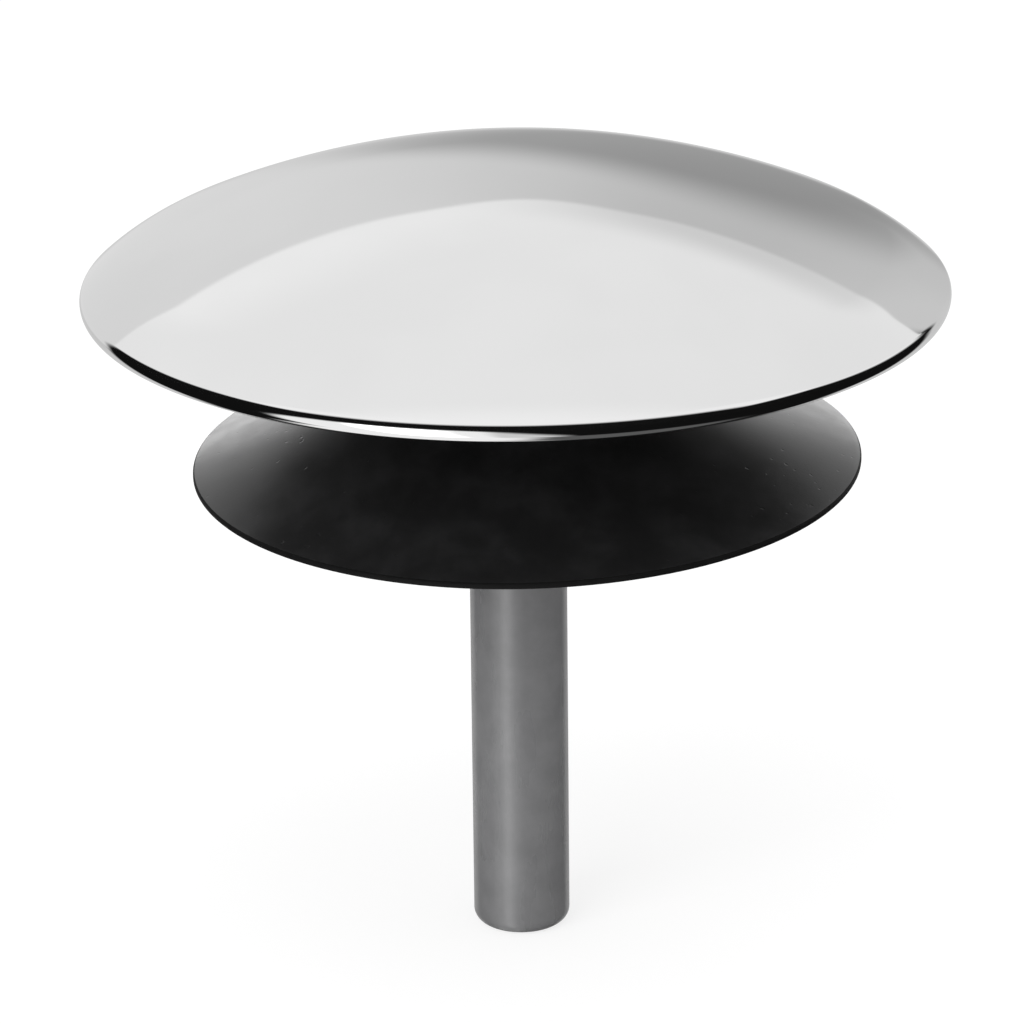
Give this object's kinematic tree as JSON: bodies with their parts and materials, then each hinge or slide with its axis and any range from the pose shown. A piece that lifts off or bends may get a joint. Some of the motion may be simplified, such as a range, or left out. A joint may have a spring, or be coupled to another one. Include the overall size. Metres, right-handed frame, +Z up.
{
  "type": "drain stopper",
  "caption": "Pop-up drain stopper for a bath: a chromed dome over a black rubber lip seal, on a grey stem that screws up and down to set its height.",
  "frame": {"origin": "on the axis, at the flat foot of the stem", "axes": "+Z up the axis, from the stem's foot to the top of the dome"},
  "size_m": [0.07, 0.07, 0.0659],
  "materials": {
    "chrome_plate": "bright chrome plate over pressed brass",
    "core_plastic": "moulded, fine matt grain",
    "steel": "turned stainless steel",
    "seal_rubber": "smooth moulded rubber with a soft sheen",
    "brass": "turned brass",
    "stem_plastic": "satin grey moulded plastic"
  },
  "bodies": {
    "cap": {"dome_cap": "chrome_plate", "core": "core_plastic", "bolt": "steel", "lip_seal": "seal_rubber", "clamp_washer": "steel", "clamp_nut": "steel"},
    "washer": {"lock_washer": "steel"},
    "stem": {"lock_nut": "steel", "stem_insert": "brass", "stem": "stem_plastic"}
  },
  "joints": [
    {"name": "stem_travel", "type": "slide", "parent": "cap", "child": "washer", "axis": [0, 0, -1], "range_m": [-0.0016, 0.008]},
    {"name": "stem_turn", "type": "hinge", "parent": "washer", "child": "stem", "pos_m": [0, 0, 0.036], "axis": [0, 0, -1], "range_deg": [-720, 3600]}
  ],
  "couplings": [
    {"joint": "stem_turn", "follows": "stem_travel", "rad_per_m": 7854}
  ]
}
